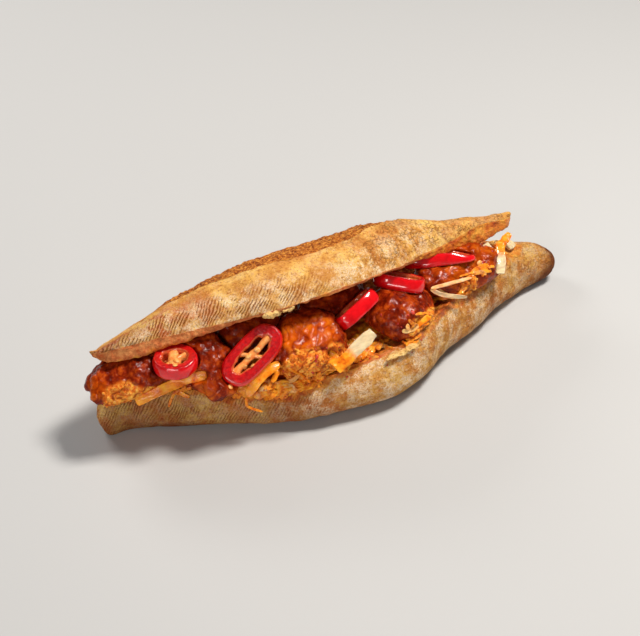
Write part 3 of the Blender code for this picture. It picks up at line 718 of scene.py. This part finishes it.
# ---------------------------------------------------------------- the chicken
BARE = (  # where the breading shows through the glaze: place and radius
    (-116, -11, 30, 11), (-106, -16, 29, 8), (-36, -37, 34, 13), (-22, -36, 34, 10), (24, -33, 33, 8),
    (34, -27, 31, 7), (62, -14, 33, 7),
)
THIN_AND_LIT = (  # where the sauce is thin and light, and where painted light falls on it
    (-34, -26, 47, 11), (-24, -27, 46, 9), (-83, -27, 34, 6), (-68, -29, 31, 8), (-129, -4, 37, 8),
    (64, -6, 38, 22), (84, 0, 40, 12), (24, -24, 40, 5),
)


CHICKEN_VOXEL = 0.6
CRISPEST = 1.7  # millimetres, the most that a crag rises


def smoothed(node, voxel, rounds):
    """The node's shape in even voxels, smoothed that many times."""
    voxels = ("REMESH", {"mode": "VOXEL", "voxel_size": voxel * MM})
    return with_modifiers(node, welded(node), voxels, ("SMOOTH", {"factor": 0.5, "iterations": rounds}))


def make_chicken(number, material, rings, strips):
    node = f"chicken_{number}"
    mesh = smoothed(node, CHICKEN_VOXEL, 7)
    glaze, bright, amounts, crease = [], [], [], []
    for point in points_of(mesh):
        bare = near_spots(point, BARE)
        wet = min(max(1.05 - 1.1 * bare + 0.45 * lumps(point, 7, number), 0.0), 1.0)
        nuggets = nodules(point, 5.2, 4)
        crags = (1.2 * nodules(point, 8.5, 2) + 1.3 * nuggets + 0.35 * nodules(point, 2.0, 6)) * (1 - 0.70 * wet)
        swell = 1.2 * lumps(point, 7.5, 2) + 0.55 * lumps(point, 4.0, 8) + 0.20 * lumps(point, 1.9, 9)
        crags += 0.85 * wet + swell * (0.25 + 0.75 * wet)
        # Painted shade: marks the creases between nuggets and the hollows of the swell, to darken them.
        crease.append(max(1 - step(nuggets, 0.02, 0.42), 0.8 - 0.8 * step(swell, -0.9, -0.1)))
        glaze.append(wet)
        # Painted light, with thin sauce: the spots where the sauce shows light.
        bright.append((0.62 if number == 6 else 1.0) * near_spots(point, THIN_AND_LIT))
        amounts.append(min(crags - 1.45, CRISPEST))
    move_along_normals(mesh, amounts)
    make_room(mesh, rings, 1.6)
    make_room(mesh, strips, 0.6, reach=3.0, spread=4)
    store(mesh, glaze=glaze, bright=bright, crease=crease)
    return piece(f"chicken_piece_{number}", mesh, material, "chicken", node)


def make_grains(pieces, material, count=260):
    """Crisp grains of breading, scattered where the glaze has left it bare."""
    pick = random.Random(5)
    bm = bmesh.new()
    spots = []
    for obj in pieces:
        glaze = obj.data.attributes["glaze"].data
        spots += [
            (vert.co.copy(), Vector(vert.normal))
            for vert, mark in zip(obj.data.vertices, glaze) if mark.value < 0.5 and vert.normal.dot(OUTWARDS) > -0.5
        ]
    for place, normal in pick.sample(spots, min(count, len(spots))):
        size = pick.uniform(0.35, 1.05) * MM
        stand = standing(normal, pick.uniform(0, 6.3))
        shape = Matrix.Diagonal((size * pick.uniform(0.8, 1.6), size, size * pick.uniform(0.6, 1.0), 1))
        place_on = Matrix.Translation(place + normal * size * 0.2)
        bmesh.ops.create_icosphere(bm, subdivisions=1, radius=1.0, matrix=place_on @ stand @ shape)
    mesh = with_modifiers("grains", bm, ("SUBSURF", {"levels": 1, "render_levels": 1}))
    plain = [0.0] * len(mesh.vertices)
    store(mesh, glaze=plain, bright=plain, crease=plain)
    piece("breading_grains", mesh, material, "chicken")


# ---------------------------------------------------------------- chilli rings
CHILLI = (  # centre, half length, half width, wall, thickness, turns, the septum's way across, and the slanting cut
    ((-91.5, -14, 44.8), 10.4, 9.6, 4.4, 6.4, (2, -2, -28), 100, 0),
    ((-58.2, -24.7, 43.4), 17, 8.6, 4.8, 5.6, (32, -30, 10), 0, 0),
    ((-1, -18.5, 44.5), 12.5, 7.4, 2.6, 6.6, (-41, -23, 11), 0, 0),
    ((27.5, -9.5, 44.5), 12.5, 7.2, 2.6, 6.6, (-25, 8, -34), 0, 0),
    ((54.5, -1.5, 43.5), 17.5, 6.4, 2.6, 6.0, (-29, -6, -24), 0, 0.55),
)
RING_STEPS = 96


def stretched(point, half_length, half_width):
    """The two half circles of a ring pulled apart into an oval."""
    return Vector((point.x + (half_length - half_width) * math.tanh(point.x / (0.35 * half_width)), point.y, point.z))


def ring_profile(radius, wall, thickness):
    """(r, z, cut, pith) round the wall: the bulging skin, a cut face, the inside and the other cut face."""
    half, inner = thickness / 2, radius - wall
    rows = [
        (radius - 0.85 + 0.85 * math.cos(a), (half - 0.35) * math.sin(a) / 0.94, 0.0, 0.0)
        for a in np.linspace(1.22, -1.22, 9)
    ]
    low = [
        (radius - 0.75, -half, 1.0, 0.0), (radius - 0.30 * wall, -half - 0.12, 1.0, 0.0),
        (radius - 0.65 * wall, -half - 0.05, 1.0, 0.1), (inner + 0.35, -half + 0.1, 1.0, 0.45),
    ]
    rows += low
    rows += [(inner - 0.05 + 0.25 * math.cos(3 * z), z, 0.6, 0.45) for z in np.linspace(-half + 0.6, half - 0.6, 5)]
    return rows + [(r, -z, cut, pith) for r, z, cut, pith in reversed(low)]


def add_grid(bm, rows, layers, closed_rows=True):
    """Faces between rows of (point, values), each row a closed line."""
    made = []
    for row in rows:
        line = []
        for point, *values in row:
            vert = bm.verts.new(point)
            for layer, value in zip(layers, values):
                vert[layer] = value
            line.append(vert)
        made.append(line)
    for i in range(len(made) - (not closed_rows)):
        a, b = made[i], made[(i + 1) % len(made)]
        for j in range(len(a)):
            k = (j + 1) % len(a)
            bm.faces.new((a[j], a[k], b[k], b[j]))


def septum_rows(reach, wall, thickness, seed, turn, start=-1.0, broad=1.0):
    """Rows of points round a pale wall across the hole, thick where it meets the flesh."""
    rows = []
    ends = reach - 0.45 * wall
    for share in np.linspace(start, 1, 30):
        x = ends * share
        wave = 1.0 * noise.noise(Vector((x / 5, seed, 0.3))) * (1 - share * share)
        thick = broad * (1.35 + 1.9 * abs(share) ** 4 + 0.5 * math.exp(-((x / 2.5) ** 2)))
        height = 0.86 - 0.10 * math.cos(share * 3) + 0.10 * noise.noise(Vector((x / 3, seed + 5, 1)))
        tall = (thickness / 2 - 0.45) * height
        line = []
        for a in np.linspace(0, 2 * math.pi, 16, endpoint=False):
            y = wave + thick * math.copysign(abs(math.cos(a)) ** 0.8, math.cos(a))
            point = Vector((x, y, tall * math.sin(a)))
            point.rotate(Matrix.Rotation(math.radians(turn), 3, "Z"))
            line.append((point, 0.3, 1.0))
        rows.append(line)
    return rows


BRANCHES = ((-62, 1.05), (128, 1.10))  # turn from the septum in degrees, and reach


def make_chilli(number, material, centre, half_length, half_width, wall, thickness, turns, septum_turn, slant):
    bm = bmesh.new()
    layers = [bm.verts.layers.float.new("cut"), bm.verts.layers.float.new("pith")]
    profile = ring_profile(half_width, wall, thickness)
    rows = []
    for a in np.linspace(0, 2 * math.pi, RING_STEPS, endpoint=False):
        wobble = 1 + 0.035 * noise.noise(Vector((2 * math.cos(a), 2 * math.sin(a), number * 3.0)))
        line = []
        for r, z, cut, pith in profile:
            inward = (half_width - r) / wall
            bulge = 1 + 0.16 * inward * noise.noise(Vector((3 * math.cos(a), 3 * math.sin(a), number + 9.0)))
            z *= 1 + 0.06 * noise.noise(Vector((math.cos(a) * 2, math.sin(a) * 2, 5.0 + number)))
            point = Vector((r * math.cos(a), r * math.sin(a), z))
            point.xy *= wobble * bulge * (1 - 0.05 * z / thickness)
            line.append((stretched(point, half_length, half_width), cut, pith))
        rows.append(line)
    add_grid(bm, rows, layers)
    across = half_length + (half_width - half_length) * abs(math.sin(math.radians(septum_turn)))
    full = 1.7 if number == 1 else 1.1
    add_grid(bm, septum_rows(across, wall, thickness, number, septum_turn, broad=full), layers, closed_rows=False)
    for turn, reach in BRANCHES:
        branch = septum_rows(
            half_width * reach, wall, thickness * 0.9, number + turn, septum_turn + turn, start=0.0, broad=0.6 * full
        )
        add_grid(bm, branch, layers, closed_rows=False)
    if slant:
        for vert in bm.verts:
            share = (vert.co.z / thickness + 0.5) * slant * step(vert.co.x / half_length, 0.1, 1.0)
            vert.co.z -= share * thickness
    bmesh.ops.holes_fill(bm, edges=[e for e in bm.edges if len(e.link_faces) == 1])
    place = Matrix.Translation(drawn(centre)) @ turned(turns) @ Matrix.Scale(MM, 4)
    bmesh.ops.transform(bm, matrix=place, verts=bm.verts)
    bmesh.ops.recalc_face_normals(bm, faces=bm.faces)
    mesh = with_modifiers(f"chilli_{number}", bm, ("SUBSURF", {"levels": 1, "render_levels": 1}))
    return piece(f"chilli_ring_{number}", mesh, material, "chilli", f"chilli_{number}")


SEEDS = (  # place, and turn in degrees
    (-92.5, -13, 43.5, 20), (-91, -14.5, 43, 80), (-94.5, -12, 44.5, 140), (-89.5, -12, 43, 50), (-58.5, -22, 41, 30),
    (-63, -27, 40, 100), (-54, -22, 43, 160), (-60, -29, 41, 60), (-72, -30, 34, 10), (-48, -36, 30, 120),
    (20, -30, 34, 70), (72, -10, 40, 20),
)
SEED_SIZE = (1.55, 1.2, 0.42)  # half length, half width and half thickness


def make_seeds(tree):
    """Flat round chilli seeds, lying where they fell."""
    look = Nodes("chilli_seed")
    colour = look.tones(look.noise(1.0, 2), (0.35, (0.78, 0.27, 0.045)), (0.65, (0.90, 0.52, 0.16)))
    look.finish(colour, 0.35, look.bump(look.noise(0.5, 2), 0.08), coat_weight=0.15)
    bm = bmesh.new()
    for x, y, z, turn in SEEDS:
        place, normal = settled(tree, (x, y, z), 0.25)
        shape = Matrix.Diagonal((*[side * MM for side in SEED_SIZE], 1))
        matrix = Matrix.Translation(place) @ standing(normal, math.radians(turn)) @ shape
        bmesh.ops.create_uvsphere(bm, u_segments=16, v_segments=10, radius=1.0, matrix=matrix)
    piece("chilli_seeds", with_modifiers("seeds", bm), look.material, "chilli")


# ---------------------------------------------------------------- kimchi
# Its colour where the sauce is dark, middling and light, and in the stems.
STRIP_TONES = ((0.62, 0.090, 0.004), (0.88, 0.22, 0.007), (0.98, 0.42, 0.024), (0.88, 0.68, 0.40))
HEAP_TONES = ((0.42, 0.050, 0.004), (0.78, 0.195, 0.010), (0.94, 0.40, 0.030), (0.88, 0.58, 0.24))

CABBAGE = (  # points along the strip, width, thickness, roll, how white each end is, and how square the ends are
    (((-111.5, -13.5, 28), (-99, -16, 33), (-88, -18.5, 36.5), (-80, -22.5, 38.5)), 4.6, 1.3, 10, -0.5, -0.3, 30),
    (((-23, -39.5, 32), (-12.5, -37.5, 37), (-1, -35, 42.5)), 6.0, 1.5, 0, -0.3, 1.4, 60),
    (((64, -16.3, 38), (54, -16.8, 39.2), (46, -17.4, 40.2), (40, -17.8, 41.2)), 1.8, 1.1, 25, 0.50, 0.50, 6),
    (((58.5, -21.5, 32), (49, -20.5, 35.5), (44, -19.5, 38.0), (40, -17.8, 41.0)), 2.1, 1.1, -20, 0.60, 0.5, 8),
    (((90, 0, 40), (87, -6, 36), (83, -12.5, 31)), 4.6, 1.6, 0, -0.3, 1.5, 40),
    (((-47.5, -31, 39), (-54.6, -32, 37.5), (-60.6, -32.5, 33), (-64.5, -32.5, 27.5)), 4.4, 0.8, 0, 0.25, 0.40, 6),
    (((22, -31, 32.5), (27, -31, 35), (33, -29.5, 35.5)), 3.2, 1.8, 0, 0.1, 0.0, 6),
    (((87, 0, 35), (90.5, -0.5, 38.5), (93.5, 0, 41), (96.5, 1, 42.5)), 4.0, 1.2, 0, 0.3, 0.2, 4),
    (((-45.8, -28.5, 34.5), (-49, -31, 33.5), (-52.4, -33, 31)), 2.4, 1.2, 0, 0.0, 0.0, 6),
    (((-23.4, -31.5, 37), (-22, -35.8, 35), (-21, -37.8, 33.5)), 5.0, 1.2, 0, 0.0, 0.0, 6),
    (((81, 1, 38), (83.5, 1.5, 38), (86, 3, 37.5)), 3.6, 2.4, 0, 1.0, 1.0, 8),
    (((101.8, 9.5, 26.4), (104.4, 10.9, 26), (106.8, 12.6, 25.3)), 4.0, 2.4, 0, 1.0, 0.9, 8),
)
STRANDS = (
    ((-65.3, -32.6, 26.6), (-65.6, -32.8, 24), (-64.4, -33, 21), (-58.5, -34.6, 17)),
    ((-46.8, -27, 37), (-42.8, -33.2, 35), (-38.3, -35.6, 31.5), (-35.6, -38.4, 28)),
)


def on_curve(points, share):
    """A point at a share of the way along a smooth curve through the points."""
    spot = min(max(share, 0.0), 1.0) * (len(points) - 1)
    k = min(int(spot), len(points) - 2)
    t = spot - k
    a, b, c, d = (Vector(points[min(max(k + n, 0), len(points) - 1)]) for n in (-1, 0, 1, 2))
    return 0.5 * (2 * b + (c - a) * t + (2 * a - 5 * b + 4 * c - d) * t * t + (3 * b - a - 3 * c + d) * t**3)


def strip_rows(points, width, thickness, roll, white, square, seed, steps=34, around=18):
    """Rows of points round a thin wavy strip with firm edges, whose ends are rounder or squarer."""
    rows = []
    for share in (1 - np.cos(np.linspace(0, math.pi, steps))) / 2:
        here = on_curve(points, share)
        ahead = (on_curve(points, share + 0.02) - on_curve(points, share - 0.02)).normalized()
        sideways = ahead.cross(OUTWARDS).normalized()
        sideways.rotate(Matrix.Rotation(math.radians(roll), 3, ahead))
        outwards = sideways.cross(ahead)
        taper = (1 - abs(2 * share - 1) ** square) ** 0.5 * (1 - 0.15 * abs(2 * share - 1) ** 3) + 0.02
        line = []
        for a in np.linspace(0, 2 * math.pi, around, endpoint=False):
            side = math.copysign(abs(math.cos(a)) ** 0.6, math.cos(a))
            up = math.copysign(abs(math.sin(a)) ** 0.7, math.sin(a))
            ragged = 1 + 0.22 * noise.noise(Vector((share * 7, math.copysign(3, side), seed * 2.1)))
            wave = 0.45 * noise.noise(Vector((share * 4, side * 1.2, seed))) * width / 3
            point = here + sideways * (side * ragged * taper * width / 2)
            point += outwards * (thickness / 2 * taper * up + wave + 0.35 * side * side)
            line.append((point, white[0] + (white[1] - white[0]) * share))
        rows.append(line)
    return rows


def strip_mesh(name, bundles):
    """A mesh of strips, each given as its rows of points."""
    bm = bmesh.new()
    layers = [bm.verts.layers.float.new("stem")]
    for rows in bundles:
        add_grid(bm, [[(drawn(p), *v) for p, *v in row] for row in rows], layers, closed_rows=False)
    bmesh.ops.holes_fill(bm, edges=[e for e in bm.edges if len(e.link_faces) == 1])
    bmesh.ops.recalc_face_normals(bm, faces=bm.faces)
    return with_modifiers(name, bm, ("SUBSURF", {"levels": 1, "render_levels": 1}))


STRAND_SIZE = (1.3, 1.1)  # width and thickness
STRAND_WHITE = (0.30, 0.20)


def make_cabbage(material):
    made = []
    for k, (points, width, thickness, roll, start, end, square) in enumerate(CABBAGE, 1):
        rows = strip_rows(points, width * 1.04, thickness, roll, (start, end), square, k)
        mesh = strip_mesh(f"cabbage_{k}", [rows])
        made.append(piece(f"kimchi_strip_{k}", mesh, material, "kimchi", f"cabbage_{k}"))
    for k, points in enumerate(STRANDS, 1):
        rows = strip_rows(points, *STRAND_SIZE, 0, STRAND_WHITE, 6, 20 + k, steps=40, around=10)
        mesh = strip_mesh(f"strand_{k}", [rows])
        made.append(piece(f"kimchi_strand_{k}", mesh, material, "kimchi", f"cabbage_strand_{k}"))
    return made


HEAP_VOXEL = 0.7


def make_kimchi_bed(material, strips):
    mesh = smoothed("kimchi", HEAP_VOXEL, 3)
    stem, amounts = [], []
    for point in points_of(mesh):
        amounts.append(1.2 * nodules(point, 4.5, 1) + 0.6 * nodules(point, 2.0, 3) - 0.9)
        stem.append(0.22 + 0.5 * lumps(point, 5, 7))
    move_along_normals(mesh, amounts)
    make_room(mesh, strips, 0.8, reach=3.0, spread=4)
    store(mesh, stem=stem)
    return piece("kimchi_heap", mesh, material, "kimchi", "kimchi")


SHRED_PLACES = (  # middle of a patch of shreds, how far it spreads along and across, how many, and how white
    ((-50, -35, 29), 9, 3.5, 20, 0.0), ((-62, -30, 29), 4, 3, 7, 0.1), ((-92, -15, 27), 6, 2, 5, 0.0),
    ((-30, -39, 30), 7, 2, 7, 0.1), ((-6, -38, 31), 7, 2, 7, 0.1), ((12, -34, 31), 8, 2, 6, 0.1),
    ((32, -25, 31), 6, 2.5, 7, 0.2), ((52, -18, 33), 9, 3, 9, 0.3), ((78, -9, 33), 8, 2.5, 7, 0.2),
    ((91, 0, 37), 4, 3, 8, 0.45),
)


def make_shreds(material, tree):
    """Short kimchi shreds that lie on whatever carries them."""
    pick = random.Random(11)
    bundles = []
    for middle, along, across, count, white in SHRED_PLACES:
        for _ in range(count):
            offset = Vector((pick.gauss(0, along * 0.6), pick.gauss(0, across * 0.5), pick.gauss(0, 1.5)))
            centre = Vector(middle) + offset
            heading = Vector((1.0, pick.gauss(0, 0.6), pick.gauss(0, 0.7))).normalized()
            half = pick.uniform(2.2, 5.5)
            side = heading.cross(OUTWARDS) * pick.gauss(0, 1.2)
            lift = pick.uniform(0.2, 0.7)
            line = []
            for share in (-1, -0.33, 0.33, 1):
                spot = centre + heading * (half * share) + side * (1 - share * share)
                place, _ = settled(tree, spot, lift)
                line.append(place / MM - SHIFT)
            if max((a - b).length for a, b in zip(line, line[1:])) > half * 1.5:
                continue
            pale = white + pick.gauss(0, 0.25)
            width, thickness, roll = pick.uniform(1.1, 2.6), pick.uniform(0.7, 1.1), pick.gauss(0, 15)
            bundles.append(strip_rows(line, width, thickness, roll, (pale, pale), 6, pick.random() * 50, 18, 12))
    return piece("kimchi_shreds", strip_mesh("shreds", bundles), material, "kimchi")


FLECK_PLACES = (  # middle of a patch of flakes, how far it spreads and how many, the first of which is large
    ((-47.5, -37.5, 29), 6, 12), ((-85, -20, 36), 16, 14), ((-30, -34, 38), 12, 14), ((25, -26, 38), 14, 14),
    ((75, -8, 38), 14, 12), ((0, -38, 29), 20, 8),
)
LARGE_FLECK = 1.3


def make_flecks(tree):
    """Flakes of dried chilli from the kimchi's paste."""
    look = Nodes("chilli_flake")
    colour = look.tones(look.noise(1.0, 2), (0.35, (0.34, 0.010, 0.006)), (0.65, (0.66, 0.045, 0.015)))
    look.finish(colour, 0.3, look.bump(look.noise(0.4, 3), 0.15))
    pick = random.Random(3)
    bm = bmesh.new()
    for middle, spread, count in FLECK_PLACES:
        for k in range(count):
            spot = Vector(middle)
            if k:
                spot += Vector((pick.gauss(0, spread * 0.6), pick.gauss(0, 2.5), pick.gauss(0, 3)))
            place, normal = settled(tree, spot, 0.15)
            size = (pick.uniform(0.3, 0.75) if k else LARGE_FLECK) * MM
            stand = standing(normal, pick.uniform(0, 6.3))
            shape = Matrix.Diagonal((size, size * pick.uniform(0.5, 0.9), size * 0.4, 1))
            matrix = Matrix.Translation(place) @ stand @ shape
            bmesh.ops.create_icosphere(bm, subdivisions=2, radius=1.0, matrix=matrix)
    noise.seed_set(1)  # noise_vector starts from the clock otherwise, and each run would differ
    for vert in bm.verts:
        vert.co += Vector(noise.noise_vector(vert.co / (0.8 * MM))) * (0.12 * MM)
    piece("chilli_flakes", with_modifiers("flakes", bm), look.material, "kimchi")


TORN = (  # centre and half sizes of bits of crumb that the cut tore up, turn about X, Y and Z in degrees
    ((-46.0, -22.2, 61.0), (5.0, 1.6, 2.2), (32, 6, 4)),
    ((-39.0, -23.6, 62.2), (3.2, 1.2, 1.3), (30, -8, 0)),
    ((9.5, -39.6, 28.2), (6.4, 1.7, 0.9), (10, 0, 8)),
    ((17.5, -38.8, 29.0), (4.4, 1.5, 0.8), (0, 6, 12)),
)


def make_torn_crumb(material):
    """Ragged bits of pale crumb at the edges of the cut."""
    bm = bmesh.new()
    for centre, sizes, turns in TORN:
        shape = Matrix.Diagonal((*[size * MM for size in sizes], 1))
        matrix = Matrix.Translation(drawn(centre)) @ turned(turns) @ shape
        bmesh.ops.create_icosphere(bm, subdivisions=5, radius=1.0, matrix=matrix)
    mesh = with_modifiers("torn", bm)
    move_along_normals(mesh, [0.9 * lumps(p, 2.4, 3) + 0.45 * lumps(p, 1.1, 5) for p in points_of(mesh)])
    count = len(mesh.vertices)
    store(mesh, crumb=[1.0] * count, pale=[0.9] * count, **{name: [0.0] * count for name in BREAD_MARKS})
    piece("torn_crumb", mesh, material, "bread")


# ---------------------------------------------------------------- the sandwich
add_camera()
add_studio()
bread = bread_look()
filling = fillings()
loaf = [make_bread_bottom(bread, filling), make_bread_top(bread, filling)]
make_torn_crumb(bread)
chilli = chilli_look()
rings = [make_chilli(number, chilli, *row) for number, row in enumerate(CHILLI, 1)]
strips = make_cabbage(kimchi_look("kimchi_strips", 4.0, 0.35, *STRIP_TONES))
rings_tree, strips_tree = surface_of(rings), surface_of(strips)
chicken = chicken_look()
chickens = [make_chicken(number, chicken, rings_tree, strips_tree) for number in range(1, 8)]
make_grains(chickens, chicken)
heap_look = kimchi_look("kimchi_heap", 2.6, 0.6, *HEAP_TONES)
heap = make_kimchi_bed(heap_look, strips_tree)
make_shreds(heap_look, surface_of([*loaf, *chickens, heap]))
everything = surface_of([*loaf, *chickens, heap, *rings])
make_seeds(everything)
make_flecks(everything)
